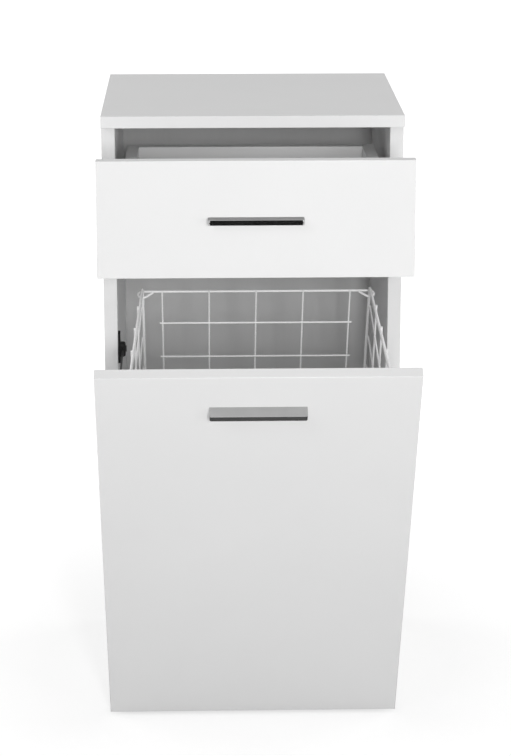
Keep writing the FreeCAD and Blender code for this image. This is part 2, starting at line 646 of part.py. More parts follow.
loop = bent_loop([Vector(0, flat_front, basket_base), Vector(0, flat_front, basket_front_top),
                  Vector(0, frame_back, basket_back_top), Vector(0, frame_back, basket_base)], FRAME_BEND)
side = pipe(loop, FRAME_WIRE)
wires = []
side_rows = int((basket_back_top - basket_base) / MESH_ROW_PITCH)
for row in range(1, side_rows + 1):
    z = basket_base + MESH_ROW_PITCH * row
    front_end = Vector(weld, flat_front - MESH_WIRE, z)
    wires.append(rod(front_end, Vector(weld, frame_back + MESH_WIRE, z), MESH_WIRE))
for share in side_upright_shares:
    y = flat_front + flat_run * share
    low = Vector(weld, y, basket_base - MESH_WIRE)
    high = Vector(weld, y, basket_front_top - BASKET_RIM_FALL * share + MESH_OVERHANG)
    wires.append(rod(low, high, MESH_WIRE))
side = side.fuse(wires)
side.rotate(Vector(0, frame_back, 0), UP, math.degrees(slant))
right_side = side.copy()
right_side.translate(Vector(BASKET_OFFSET + basket_half, 0, 0))
left_side = mirrored(side)
left_side.translate(Vector(BASKET_OFFSET - basket_half, 0, 0))
save("basket_left_side", [left_side], tilted_open)
save("basket_right_side", [right_side], tilted_open)

# Back of the basket: a rim hooked round both side frames, with a mesh below it
rim_z = basket_back_top - BASKET_RIM_DROP - FRAME_BEND
rim_y = frame_back + hug
hook_y = rim_y - HOOK_RADIUS
turn = math.radians(HOOK_TURN)


def hook_points(sign):
    """Where the rim starts round a side frame, its outmost point, its last bend, and its end on the rim."""
    x = BASKET_OFFSET + sign * basket_half
    leave = Vector(x, rim_y, rim_z)
    apex = Vector(x + sign * HOOK_RADIUS, hook_y, rim_z)
    bend = Vector(x - sign * HOOK_RADIUS * math.sin(turn), hook_y - HOOK_RADIUS * math.cos(turn), rim_z)
    rise = rim_y - RIM_WIRE * 2 * WELD_SHARE - bend.y
    end = Vector(bend.x - sign * rise / math.tan(turn), bend.y + rise, rim_z)
    return leave, apex, bend, end


left_leave, left_apex, left_bend, left_end = hook_points(-1)
right_leave, right_apex, right_bend, right_end = hook_points(1)
rim_edges = [
    Part.Arc(left_bend, left_apex, left_leave).toShape(),
    Part.LineSegment(left_leave, right_leave).toShape(),
    Part.Arc(right_leave, right_apex, right_bend).toShape(),
]
rim = pipe(rim_edges, RIM_WIRE)
upright_y = rim_y - (RIM_WIRE + MESH_WIRE) * WELD_SHARE
cross_y = upright_y - MESH_WIRE * 2 * WELD_SHARE
mesh_half = MESH_PITCH * mesh_columns[-1] + MESH_OVERHANG
foot_z = basket_base + FRAME_WIRE
wires = [
    rod(left_bend, left_end, RIM_WIRE),
    rod(right_bend, right_end, RIM_WIRE),
    cross_wire(basket_half + hug, rim_y, foot_z, RIM_WIRE),
]
for column in mesh_columns:
    x = BASKET_OFFSET + MESH_PITCH * column
    low = Vector(x, upright_y, foot_z - RIM_WIRE)
    wires.append(rod(low, Vector(x, upright_y, rim_z + RIM_WIRE), MESH_WIRE))
first_row_z = rim_z - BACK_FIRST_ROW
back_rows = int((first_row_z - foot_z - MESH_EDGE_ROOM) / BACK_ROW_PITCH)
for row in range(back_rows + 1):
    wires.append(cross_wire(mesh_half, cross_y, first_row_z - BACK_ROW_PITCH * row, MESH_WIRE))
save("basket_back", [rim.fuse(wires)], tilted_open)

# Floor of the basket, resting on the bottom runs of the side frames
cross_z = basket_base + hug
run_z = cross_z + (RIM_WIRE + MESH_WIRE) * WELD_SHARE
wires = []
for share in floor_cross_shares:
    y = frame_front + frame_run * share
    wires.append(cross_wire(side_x(y) + FRAME_WIRE, y, cross_z, RIM_WIRE))
run_y0 = frame_front + frame_run * floor_cross_shares[0] - MESH_OVERHANG
run_y1 = frame_front + frame_run * floor_cross_shares[-1] + MESH_OVERHANG
for column in mesh_columns:
    x = BASKET_OFFSET + MESH_PITCH * column
    wires.append(rod(Vector(x, run_y0, run_z), Vector(x, run_y1, run_z), MESH_WIRE))
save("basket_floor", [wires[0].fuse(wires[1:])], tilted_open)

# Front of the basket, along the back of the flap
cross_y = frame_front + hug
upright_y = cross_y - (RIM_WIRE + MESH_WIRE) * WELD_SHARE
wires = []
heights = [basket_base + (basket_front_top - basket_base) * share for share in front_cross_shares]
for z in heights:
    wires.append(cross_wire(side_x(frame_front) + FRAME_WIRE, cross_y, z, RIM_WIRE))
for column in mesh_columns:
    x = BASKET_OFFSET + MESH_PITCH * column
    low = Vector(x, upright_y, heights[0] - MESH_OVERHANG)
    wires.append(rod(low, Vector(x, upright_y, heights[-1] + MESH_OVERHANG), MESH_WIRE))
save("basket_front", [wires[0].fuse(wires[1:])], tilted_open)

# Clips that hold the side frames to the flap, with their screws
clip_back = frame_front + FRAME_WIRE + CLIP_WALL
clip_rows = (1, int((foot_low - basket_base) / MESH_ROW_PITCH) - 1)
clip_heights = [basket_base + MESH_ROW_PITCH * (row + row + 1) / 2 for row in clip_rows]
clips = []
clip_screws = []
clip_holes = []
for sign in (-1, 1):
    wire_x = BASKET_OFFSET + sign * side_x(frame_front)
    for z in clip_heights:
        x0, x1 = sorted((wire_x + sign * CLIP_EDGE, wire_x + sign * (CLIP_EDGE - CLIP_WIDTH)))
        clip = block(x0, x1, -FRONT_GAP, clip_back, z - CLIP_HEIGHT / 2, z + CLIP_HEIGHT / 2)
        clip = softened(clip, CLIP_ROUND, lambda box: box.YMin > clip_back - FIT_PLAY)
        wire_end = Vector(wire_x, frame_front, z - CLIP_HEIGHT / 2)
        wire = Part.makeCylinder(FRAME_WIRE + FIT_PLAY, CLIP_HEIGHT, wire_end, UP)
        seat = Vector(wire_x + sign * (CLIP_EDGE - CLIP_WIDTH * clip_screw_share), clip_back, z)
        length = clip_back + FRONT_GAP + SCREW_LENGTH
        hole = pilot(seat, -BACK, length)
        clips.append(drilled(clip, [wire, hole]))
        clip_screws.append(pan_screw(seat, -BACK, length))
        clip_holes.append(hole)
save("basket_clips", clips, tilted_open)
save("basket_clip_screws", clip_screws, tilted_open)

# Flap
flap = rounded_front(block(-front_half, front_half, -front_face, -FRONT_GAP, BASE_LIFT, flap_top))
flap_holes = flap_handle_holes + flap_leaf_holes + foot_holes + clip_holes
save("flap_panel", [drilled(flap, flap_holes)], tilted_open)
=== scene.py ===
# %% [markdown]
# # A bathroom base cabinet with a drawer and a tilting laundry flap
# The real cabinet is white board with chrome ledge handles. Behind the flap hangs a coated wire
# basket. The construction model already holds every board, wire and screw at its true place, so
# this lesson keeps those solids and gives each one a finish. Only two kinds of piece are remade,
# because they are finer than the construction needs: boards and handles get eased edges, and
# screws get driven heads.

# %% Load the construction model
import bmesh
import bpy
import json
import math
import numpy
from mathutils import Matrix, Vector

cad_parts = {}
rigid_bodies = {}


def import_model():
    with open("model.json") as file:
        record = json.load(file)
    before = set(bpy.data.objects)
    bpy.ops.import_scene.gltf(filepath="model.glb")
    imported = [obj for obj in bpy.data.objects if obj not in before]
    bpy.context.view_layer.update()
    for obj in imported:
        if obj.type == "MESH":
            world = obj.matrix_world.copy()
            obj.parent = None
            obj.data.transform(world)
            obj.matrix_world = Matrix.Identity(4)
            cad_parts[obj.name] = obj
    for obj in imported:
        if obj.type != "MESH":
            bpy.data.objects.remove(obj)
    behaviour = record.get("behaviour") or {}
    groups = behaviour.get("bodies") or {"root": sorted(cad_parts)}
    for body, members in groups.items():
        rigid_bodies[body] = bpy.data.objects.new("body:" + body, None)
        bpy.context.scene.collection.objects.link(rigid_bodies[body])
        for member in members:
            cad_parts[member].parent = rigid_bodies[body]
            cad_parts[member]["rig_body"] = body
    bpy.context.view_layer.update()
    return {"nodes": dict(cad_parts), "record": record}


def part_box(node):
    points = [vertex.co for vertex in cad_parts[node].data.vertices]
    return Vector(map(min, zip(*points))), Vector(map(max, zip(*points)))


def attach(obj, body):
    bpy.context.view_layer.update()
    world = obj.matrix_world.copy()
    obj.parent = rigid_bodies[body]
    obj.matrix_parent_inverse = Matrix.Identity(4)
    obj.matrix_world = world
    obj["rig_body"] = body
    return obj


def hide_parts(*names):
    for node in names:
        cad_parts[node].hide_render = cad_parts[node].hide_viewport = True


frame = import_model()
nodes = frame["nodes"]
scene = bpy.context.scene
scene.view_settings.view_transform = "Standard"

# %% [markdown]
# ## The camera
# The cabinet is seen from the front, a little from the left and from above its top, through a long
# lens. A camera fitted to the corners of the boards gives its place, and a small downward lens
# shift keeps the uprights nearly parallel, as a product photographer does.

# %% Place the camera
LENS_MM = 106.29
LENS_SHIFT = -0.18
LOOK_DOWN = 13.75
LOOK_RIGHT = 1.39
CAMERA_PLACE = (-0.0665, -2.8948, 1.3851)
camera_data = bpy.data.cameras.new("front_camera")
camera_data.lens = LENS_MM
camera_data.shift_y = LENS_SHIFT
camera = bpy.data.objects.new("front_camera", camera_data)
camera.location = CAMERA_PLACE
camera.rotation_euler = (math.radians(90 - LOOK_DOWN), 0, math.radians(-LOOK_RIGHT))
scene.collection.objects.link(camera)
scene.camera = camera
print("camera", [round(v, 3) for v in camera.location])

# %% [markdown]
# ## Writing shader sums as Python
# A finish is a small calculation: noise plus grain times an edge mask. Node by node that is hard to
# read, so one class wraps a socket and turns `+ - *` into Math nodes, and one method adds any other
# kind of node. The sums then read like the sentences that explain them.


# %% A socket that can be used in sums
class Strand:
    """One output socket of a node tree."""

    def __init__(self, finish, socket):
        self.finish = finish
        self.socket = socket

    def sum(self, operation, first, second):
        return self.finish.add("Math", {"operation": operation}, {0: first, 1: second})

    def __add__(self, other):
        return self.sum("ADD", self, other)

    def __radd__(self, other):
        return self.sum("ADD", other, self)

    def __sub__(self, other):
        return self.sum("SUBTRACT", self, other)

    def __rsub__(self, other):
        return self.sum("SUBTRACT", other, self)

    def __mul__(self, other):
        return self.sum("MULTIPLY", self, other)

    def at_most(self, other):
        return self.sum("MINIMUM", self, other)

    def at_least(self, other):
        return self.sum("MAXIMUM", self, other)

    def below(self, other):
        return self.sum("LESS_THAN", self, other)


# %% [markdown]
# The second class holds the tree of one material or world. Besides the general method it has the few
# patterns that nearly every finish uses: noise in the piece's own space, a mask of the edges, a run
# between two greys and a bump.

# %% A finish that collects nodes
EDGE_CONTRAST = 4.0


class Finish:
    """A material or world, with one way to add nodes to it."""

    def __init__(self, owner):
        owner.use_nodes = True
        self.owner = owner
        self.tree = owner.node_tree

    def add(self, kind, settings=None, inputs=None, output=0):
        node = self.tree.nodes.new("ShaderNode" + kind)
        for name, value in (settings or {}).items():
            setattr(node, name, value)
        for name, value in (inputs or {}).items():
            self.feed(node.inputs[name], value)
        return Strand(self, node.outputs[output])

    def feed(self, socket, value):
        if isinstance(value, Strand):
            self.tree.links.new(value.socket, socket)
        else:
            socket.default_value = value

    def noise(self, size, detail=2.0, stretch=(1.0, 1.0, 1.0)):
        """Grey noise whose lumps are about `size` metres across, the same wherever the piece goes."""
        place = self.add("TexCoord", output="Object")
        run = self.add("Mapping", inputs={"Vector": place, "Scale": stretch})
        return self.add("TexNoise", inputs={"Vector": run, "Scale": 1.0 / size, "Detail": detail})

    def edges(self, radius):
        """0 on flat faces, rising to 1 along the edges within `radius` metres."""
        soft = self.add("Bevel", {"samples": 4}, {"Radius": radius})
        flat = self.add("NewGeometry", output="Normal")
        same = self.add("VectorMath", {"operation": "DOT_PRODUCT"}, {0: soft, 1: flat}, "Value")
        return ((1.0 - same) * EDGE_CONTRAST).at_most(1.0)

    def tint(self, shade, dark, light):
        """A grey that runs from `dark` to `light` as `shade` goes from 0 to 1."""
        return self.add("Mix", {"data_type": "RGBA"}, {"Factor": shade, "A": dark, "B": light}, 2)

    def relief(self, height, depth, strength, normal=None):
        """Bump of `depth` metres, laid over another normal where one is given."""
        inputs = {"Height": height, "Distance": depth, "Strength": strength}
        if normal:
            inputs["Normal"] = normal
        return self.add("Bump", inputs=inputs)


def new_finish(name, **fixed):
    """A material with its Principled shader's constant values set; the shader comes back with it."""
    finish = Finish(bpy.data.materials.new(name))
    shader = finish.tree.nodes["Principled BSDF"]
    for socket, value in fixed.items():
        shader.inputs[socket.replace("_", " ")].default_value = value
    return finish, shader


def grey(value):
    return (value, value, value, 1.0)


# %% [markdown]
# ## White room, white floor
# The cabinet stands in front of plain white. The floor is real, and keeps a pale shadow that
# grounds the cabinet, but what the camera and the chrome see of it is mostly plain white, and all
# white further away. Light Path tells those rays from the ones that light the boards. Under the
# cabinet the added white is left out, so the slit above the floor stays dark.

# %% Floor
FLOOR_REACH = 14.0
floor_mesh = bpy.data.meshes.new("studio_floor")
plane = bmesh.new()
bmesh.ops.create_grid(plane, x_segments=8, y_segments=8, size=FLOOR_REACH)
plane.to_mesh(floor_mesh)
plane.free()
floor = bpy.data.objects.new("studio_floor", floor_mesh)
scene.collection.objects.link(floor)
print("floor", FLOOR_REACH * 2, "m across")


# %% Floor finish
PAINT_FOR_LIGHT = 0.64
PAINT_SEEN = 0.42
FLOOR_WHITE_SHARE = 0.64
SHADOW_REACH = 0.3
SHADOW_FADE = 0.35


def rays_that_look(finish):
    """1 for rays that see a surface straight, mirrored or through glass."""
    seen = finish.add("LightPath", output="Is Camera Ray")
    mirrored = finish.add("LightPath", output="Is Glossy Ray")
    through = finish.add("LightPath", output="Is Transmission Ray")
    return seen.at_least(mirrored).at_least(through)


pale_floor = Finish(bpy.data.materials.new("pale_floor"))
looking = rays_that_look(pale_floor)
paint_tone = pale_floor.tint(looking, grey(PAINT_FOR_LIGHT), grey(PAINT_SEEN))
paint = pale_floor.add("BsdfDiffuse", inputs={"Color": paint_tone})
stand_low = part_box("left_side_panel")[0]
stand_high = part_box("right_side_panel")[1]
stand_middle = (Vector(stand_low) + Vector(stand_high)) / 2
stand_half = (Vector(stand_high) - Vector(stand_low)) / 2
spot = pale_floor.add("TexCoord", output="Object")
offset = pale_floor.add(
    "VectorMath", {"operation": "SUBTRACT"}, {0: spot, 1: (stand_middle.x, stand_middle.y, 0.0)})
aside = pale_floor.add("VectorMath", {"operation": "ABSOLUTE"}, {0: offset})
across = pale_floor.add("SeparateXYZ", inputs={0: aside}, output="X")
along = pale_floor.add("SeparateXYZ", inputs={0: aside}, output="Y")
covered = across.below(stand_half.x) * along.below(stand_half.y)
away = pale_floor.add("VectorMath", {"operation": "LENGTH"}, {0: offset}, "Value")
fade = ((away - SHADOW_REACH) * SHADOW_FADE).at_least(0.0).at_most(1.0 - FLOOR_WHITE_SHARE)
white_level = looking * (fade + FLOOR_WHITE_SHARE) * (1.0 - covered)
white = pale_floor.add("Emission", inputs={"Color": grey(1.0), "Strength": white_level})
cover = pale_floor.add("AddShader", inputs={0: paint, 1: white})
pale_floor.feed(pale_floor.tree.nodes["Material Output"].inputs["Surface"], cover)
floor_mesh.materials.append(pale_floor.owner)
print("floor finish", pale_floor.owner.name)

# %% [markdown]
# The room is a plain white world. Seen or mirrored it is full white. As light it is much weaker, so
# that the soft boxes shape the cabinet.

# %% World
ROOM_LIGHT = 0.46
room = Finish(bpy.data.worlds.new("white_room"))
scene.world = room.owner
looking = rays_that_look(room)
strength = looking * (1.0 - ROOM_LIGHT) + ROOM_LIGHT
room_light = room.add("Background", inputs={"Color": grey(1.0), "Strength": strength})
room.feed(room.tree.nodes["World Output"].inputs["Surface"], room_light)
print("room light", ROOM_LIGHT)

# %% [markdown]
# ## Soft boxes
# The drawer front is the brightest surface, the flap leans towards the floor and falls off to grey,
# and light still reaches the back behind the basket. So the main box stands in front, near the
# camera's own line. It is narrow, because each upright wire of the basket throws a soft dark band on
# the back. Mirrored rays pass it by, because the chrome is even and shows no spot of a lamp. A weaker
# box stands higher on the left, and a small one far to the right reaches the left inner wall. Two
# wide weak ones stand behind, so that the sides and the back are not lost when the cabinet is seen
# from there.


# %% Lamps
def soft_box(name, place, aim, width, height, power):
    lamp = bpy.data.lights.new(name, "AREA")
    lamp.shape = "RECTANGLE"
    lamp.size = width
    lamp.size_y = height
    lamp.energy = power
    box = bpy.data.objects.new(name, lamp)
    box.location = place
    box.rotation_euler = (Vector(aim) - Vector(place)).to_track_quat("-Z", "Y").to_euler()
    scene.collection.objects.link(box)
    return box


KEY_POWER = 40.0
HIGH_POWER = 14.0
RIGHT_POWER = 8.5
SIDE_POWER = 15.0
FRONT_AIM = (0.0, 0.0, 0.6)
SIDE_AIM = (0.0, 0.0, 0.5)
key_box = soft_box("key_box", (0.32, -3.17, 1.31), FRONT_AIM, 0.24, 0.6, KEY_POWER)
key_box.visible_glossy = False
soft_box("high_box", (-1.7, -2.75, 2.5), FRONT_AIM, 1.8, 1.0, HIGH_POWER)
soft_box("right_box", (2.0, -2.6, 1.1), FRONT_AIM, 0.6, 0.8, RIGHT_POWER)
for side in (-1, 1):
    soft_box("side_box", (side * 2.4, 1.0, 1.5), SIDE_AIM, 1.4, 1.4, SIDE_POWER)

# %% [markdown]
# ## Dark cards for the chrome
# Polished metal shows only what it mirrors. In front of the real cabinet lies something dark, so
# the drawer handle's front face is black and the flap handle's is dark grey. Two cards that only
# mirrored rays can see do the same without shading the boards.


# %% Dark cards
def dark_card(name, level, place, width, depth):
    cloth = Finish(bpy.data.materials.new(name))
    dull = cloth.add("BsdfDiffuse", inputs={"Color": grey(level)})
    cloth.feed(cloth.tree.nodes["Material Output"].inputs["Surface"], dull)
    mesh = bpy.data.meshes.new(name)
    plane = bmesh.new()
    bmesh.ops.create_grid(plane, x_segments=4, y_segments=4, size=0.5)
    plane.to_mesh(mesh)
    plane.free()
    mesh.materials.append(cloth.owner)
    card = bpy.data.objects.new(name, mesh)
    card.location = place
    card.scale = (width, depth, 1.0)
    scene.collection.objects.link(card)
    card.visible_camera = False
    card.visible_diffuse = False
    card.visible_shadow = False
    card.visible_transmission = False


dark_card("far_card", level=0.01, place=(0.0, -2.2, 0.35), width=2.4, depth=2.2)
dark_card("near_card", level=0.16, place=(0.05, -0.7, 0.004), width=2.0, depth=1.4)

# %% [markdown]
# ## White boards
# Melamine paper over chipboard is never a perfect white: the pressing leaves a fine pearl grain,
# and large faint clouds where the paper lies thinner. Edges collect grime and lose a little gloss.
# The Bevel node finds the edges, so that no edge has to be painted by hand.


# %% Board finishes
def board_finish(name, white_level, pearl, roughness, shine=0.5):
    finish, shader = new_finish(name, Specular_IOR_Level=shine)
    clouds = finish.noise(0.11, 3.0)
    fibres = finish.noise(0.0016, 2.0, (1.0, 1.0, 0.35))
    edge = finish.edges(0.0012)
    shade = (clouds * 0.7 + fibres * 0.3 - edge * 0.35).at_least(0.0)
    dark = grey(white_level * 0.955)
    light = grey(white_level * 1.025)
    finish.feed(shader.inputs["Base Color"], finish.tint(shade, dark, light))
    rough = roughness + (clouds - 0.5) * 0.1 + (fibres - 0.5) * 0.08 + edge * 0.12
    finish.feed(shader.inputs["Roughness"], rough)
    rounded = finish.add("Bevel", {"samples": 4}, {"Radius": 0.0006})
    grain = finish.noise(0.0011, 2.0)
    finish.feed(shader.inputs["Normal"], finish.relief(grain, 0.0001, pearl, rounded))
    return finish.owner


carcass_board = board_finish("carcass_board", white_level=0.83, pearl=0.10, roughness=0.42)
drawer_board = board_finish("drawer_board", white_level=0.80, pearl=0.14, roughness=0.46)
thin_board = board_finish("thin_board", white_level=0.79, pearl=0.18, roughness=0.5)
top_board = board_finish("top_board", white_level=0.85, pearl=0.12, roughness=0.64, shine=0.3)
print("boards", carcass_board.name, drawer_board.name, thin_board.name, top_board.name)

# %% [markdown]
# The back is thin fibreboard with one coat of paint. Its grey is painted shade, darker than the
# boards for the dim inside of the cabinet. Its faint upright streaks are painted shadow, which
# stands in for the soft bands that the basket's wires throw, so the noise is drawn out along Z.


# %% Back finish
def back_finish(name, dark, light):
    finish, shader = new_finish(name, Specular_IOR_Level=0.4)
    # Painted shadow: upright streaks that stand in for the soft bands the basket's wires throw on the
    # back.
    painted_shadow_streaks = finish.noise(0.028, 3.0, (1.0, 1.0, 0.03))
    fibres = finish.noise(0.0022, 2.0, (1.0, 1.0, 0.12))
    shade = painted_shadow_streaks + (fibres - 0.5) * 0.3
    finish.feed(shader.inputs["Base Color"], finish.tint(shade, grey(dark), grey(light)))
    finish.feed(shader.inputs["Roughness"], 0.5 + (fibres - 0.5) * 0.16)
    finish.feed(shader.inputs["Normal"], finish.relief(fibres, 0.0001, 0.18))
    return finish.owner


# Painted shade: the back's grey is set below the boards' white for the dim inside of the cabinet.
painted_back = back_finish("painted_back", dark=0.575, light=0.63)
print("back", painted_back.name)

# %% [markdown]
# ## Glossier fronts
# The drawer front and the flap wear a smoother, harder film than the carcass. It mirrors faintly,
# and a long slow waviness shows where the film was drawn over the board. The narrow edges are closed
# with a matt band. The normal in the piece's own space tells them from the wide faces, and it turns
# with the flap.


# %% Front finish
BAND_START = 0.6
BAND_STEEPNESS = 5.0
BAND_TONE = 0.79


def front_finish(name):
    finish, shader = new_finish(name, Coat_Roughness=0.12, Coat_IOR=1.45)
    clouds = finish.noise(0.16, 2.0)
    specks = finish.noise(0.0021, 3.0)
    edge = finish.edges(0.0016)
    facing = finish.add("TexCoord", output="Normal")
    forward = finish.add("SeparateXYZ", inputs={0: facing}, output="Y")
    band = ((BAND_START - forward * forward) * BAND_STEEPNESS).at_least(0.0).at_most(1.0)
    shade = (clouds * 0.75 + specks * 0.25 - edge * 0.2).at_least(0.0)
    film = finish.tint(shade, grey(0.83), grey(0.875))
    finish.feed(shader.inputs["Base Color"], finish.tint(band, film, grey(BAND_TONE)))
    finish.feed(shader.inputs["Roughness"], 0.34 + (specks - 0.5) * 0.08 + edge * 0.1 + band * 0.3)
    finish.feed(shader.inputs["Coat Weight"], (0.16 + (clouds - 0.5) * 0.1) * (1.0 - band))
    peel = finish.noise(0.006, 1.0)
    finish.feed(shader.inputs["Normal"], finish.relief(peel, 0.0001, 0.05))
    return finish.owner


film_front = front_finish("film_front")
print("front", film_front.name)

# %% [markdown]
# ## Chrome, zinc and coated steel
# Chrome is a plain mirror with faint finger smudges. Zinc on screws and hinges is cloudy and
# rougher. The runners wear white powder, and the basket a pale skin that runs thick and thin along
# the wire.


# %% Metal finishes
def chrome_finish(name):
    finish, shader = new_finish(name, Metallic=1.0, Specular_Tint=grey(0.45))
    smudge = finish.noise(0.02, 4.0)
    scratch = finish.noise(0.0009, 2.0, (0.04, 1.0, 1.0))
    finish.feed(shader.inputs["Base Color"], finish.tint(smudge, grey(0.44), grey(0.53)))
    finish.feed(shader.inputs["Roughness"], 0.05 + smudge * 0.06 + scratch * 0.06)
    finish.feed(shader.inputs["Normal"], finish.relief(scratch, 0.00001, 0.008))
    return finish.owner


def zinc_finish(name):
    finish, shader = new_finish(name, Metallic=1.0)
    clouds = finish.noise(0.004, 4.0)
    edge = finish.edges(0.0004)
    shade = (clouds + edge * 0.3).at_most(1.0)
    finish.feed(shader.inputs["Base Color"], finish.tint(shade, grey(0.58), grey(0.84)))
    finish.feed(shader.inputs["Roughness"], 0.26 + clouds * 0.22)
    pits = finish.noise(0.0007, 3.0)
    finish.feed(shader.inputs["Normal"], finish.relief(pits, 0.00005, 0.12))
    return finish.owner


def coated_finish(name, dark, light, lump, roughness, coat):
    finish, shader = new_finish(name, Coat_Roughness=0.2)
    clouds = finish.noise(0.03, 2.0)
    skin = finish.noise(lump, 2.0)
    shade = clouds * 0.6 + skin * 0.4
    finish.feed(shader.inputs["Base Color"], finish.tint(shade, grey(dark), grey(light)))
    finish.feed(shader.inputs["Roughness"], roughness + (skin - 0.5) * 0.12)
    finish.feed(shader.inputs["Coat Weight"], coat + clouds * 0.1)
    finish.feed(shader.inputs["Normal"], finish.relief(skin, 0.0001, 0.04))
    return finish.owner


polished_chrome = chrome_finish("polished_chrome")
cloudy_zinc = zinc_finish("cloudy_zinc")
runner_powder = coated_finish(
    "runner_powder", dark=0.76, light=0.86, lump=0.0012, roughness=0.36, coat=0.1)
wire_skin = coated_finish("wire_skin", dark=0.86, light=0.94, lump=0.0022, roughness=0.26, coat=0.5)
print("metals", polished_chrome.name, cloudy_zinc.name, runner_powder.name, wire_skin.name)

# %% [markdown]
# ## Plastics, black steel and beech
# Moulded parts have a fine spark-eroded grain and go shiny where they rub. The stay's bar is black
# steel that shows bare metal along its edges, and the hidden dowels are turned beech.


# %% Plastic, black and wood finishes
def plastic_finish(name, dark, light, roughness, grain_size, shine):
    finish, shader = new_finish(name, Specular_IOR_Level=shine)
    clouds = finish.noise(0.012, 2.0)
    grain = finish.noise(grain_size, 2.0)
    edge = finish.edges(0.0005)
    finish.feed(shader.inputs["Base Color"], finish.tint(clouds, grey(dark), grey(light)))
    finish.feed(shader.inputs["Roughness"], roughness + (grain - 0.5) * 0.15 - edge * 0.12)
    finish.feed(shader.inputs["Normal"], finish.relief(grain, 0.00008, 0.2))
    return finish.owner


def black_steel_finish(name):
    finish, shader = new_finish(name, Specular_IOR_Level=0.5)
    worn = finish.edges(0.0004) * finish.noise(0.006, 3.0)
    rubbed = finish.noise(0.0012, 2.0, (1.0, 0.08, 0.5))
    finish.feed(shader.inputs["Base Color"], finish.tint(worn, grey(0.018), grey(0.3)))
    finish.feed(shader.inputs["Roughness"], 0.3 + rubbed * 0.2)
    finish.feed(shader.inputs["Metallic"], worn)
    finish.feed(shader.inputs["Normal"], finish.relief(rubbed, 0.00004, 0.15))
    return finish.owner


def beech_finish(name):
    finish, shader = new_finish(name, Specular_IOR_Level=0.35)
    grain = finish.noise(0.002, 4.0, (1.0, 0.3, 1.0))
    flecks = finish.noise(0.0007, 2.0, (0.25, 1.0, 1.0))
    shade = grain * 0.7 + flecks * 0.3
    pale = (0.72, 0.53, 0.35, 1.0)
    ruddy = (0.5, 0.32, 0.19, 1.0)
    finish.feed(shader.inputs["Base Color"], finish.tint(shade, ruddy, pale))
    finish.feed(shader.inputs["Roughness"], 0.6 + flecks * 0.15)
    finish.feed(shader.inputs["Normal"], finish.relief(grain, 0.0001, 0.2))
    return finish.owner


white_moulding = plastic_finish(
    "white_moulding", dark=0.76, light=0.83, roughness=0.44, grain_size=0.0006, shine=0.45)
black_moulding = plastic_finish(
    "black_moulding", dark=0.008, light=0.018, roughness=0.5, grain_size=0.0005, shine=0.25)
black_bar = black_steel_finish("black_bar")
turned_beech = beech_finish("turned_beech")
print("others", white_moulding.name, black_moulding.name, black_bar.name, turned_beech.name)

# %% [markdown]
# ## Dressing the solids
# Each solid names a slot in the record, and most solids take the finish of their slot. The top, the
# thin sheets and the drawer box are different boards from the carcass, so they are named one by one.

# %% Put the finishes on
slot_finish = {
    "white_board": carcass_board,
    "white_front": film_front,
    "beech_dowel": turned_beech,
    "bright_chrome": polished_chrome,
    "zinc_steel": cloudy_zinc,
    "white_coated_steel": runner_powder,
    "basket_wire": wire_skin,
    "white_plastic": white_moulding,
    "black_plastic": black_moulding,
    "black_steel": black_bar,
}
own_finish = {
    "top_panel": top_board,
    "back_panel": painted_back,
    "drawer_bottom": thin_board,
    "drawer_back": drawer_board,
    "drawer_left_side": drawer_board,
    "drawer_right_side": drawer_board,
}
slot_of = {part["node"]: part["material_slot"] for part in frame["record"]["subparts"]}
for name, piece in nodes.items():
    piece.data.materials.clear()
    piece.data.materials.append(own_finish.get(name, slot_finish[slot_of[name]]))
print("dressed", len(nodes), "solids")

# %% [markdown]
# ## Eased edges
# No real board has a knife edge: the edge band is rounded by a scraper, and chrome by the polishing
# wheel. That thin round catches the light, so it is made as geometry. Each board is copied from its
# solid, flat triangles are joined into whole faces, and the long sharp edges get a small bevel. The
# fronts come from the construction with a rounded outer face, so only their backs change. The
# handles are left out of bounced light: a mirror throws a speckled glow on the board above it,
# which takes very many samples to settle.


# %% Copy a solid and round its edges
def take_over(name, mesh, prefix):
    """Turn finished geometry into a piece that stands for a node, on the same body."""
    data = bpy.data.meshes.new(prefix + name)
    mesh.to_mesh(data)
    mesh.free()
    data.materials.append(nodes[name].data.materials[0])
    piece = bpy.data.objects.new(prefix + name, data)
    scene.collection.objects.link(piece)
    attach(piece, nodes[name]["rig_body"])
    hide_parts(name)
    return piece


WELD = 1e-6
FLAT = math.radians(0.5)
SHARP = math.radians(60)
LONG_EDGE = 0.03
BOARD_ROUND = 0.0006
THIN_ROUND = 0.0005


def eased(name, radius, shortest=LONG_EDGE):
    """A copy of a solid whose sharp edges longer than `shortest` are rounded."""
    mesh = bmesh.new()
    mesh.from_mesh(nodes[name].data)
    bmesh.ops.remove_doubles(mesh, verts=mesh.verts, dist=WELD)
    bmesh.ops.dissolve_limit(mesh, angle_limit=FLAT, verts=mesh.verts, edges=mesh.edges)
    long_ones = [edge for edge in mesh.edges if edge.is_convex and edge.calc_length() > shortest]
    sharp = [edge for edge in long_ones if edge.calc_face_angle() > SHARP]
    rounded = bmesh.ops.bevel(
        mesh, geom=sharp, affect="EDGES", offset=radius, segments=3, profile=0.5, clamp_overlap=True)
    for face in rounded["faces"]:
        face.smooth = True
    bmesh.ops.dissolve_degenerate(mesh, dist=WELD, edges=mesh.edges)
    return take_over(name, mesh, "eased_")


CARCASS_BOARDS = ("top_panel", "left_side_panel", "right_side_panel", "bottom_panel", "cross_rail")
FRONT_BOARDS = ("drawer_front", "flap_panel")
DRAWER_BOARDS = ("drawer_left_side", "drawer_right_side", "drawer_back")
for name in CARCASS_BOARDS + FRONT_BOARDS:
    eased(name, BOARD_ROUND)
for name in DRAWER_BOARDS:
    eased(name, THIN_ROUND)
for name in ("drawer_handle", "flap_handle"):
    handle = eased(name, THIN_ROUND, shortest=0.0)
    handle.visible_diffuse = False
    handle.visible_glossy = False

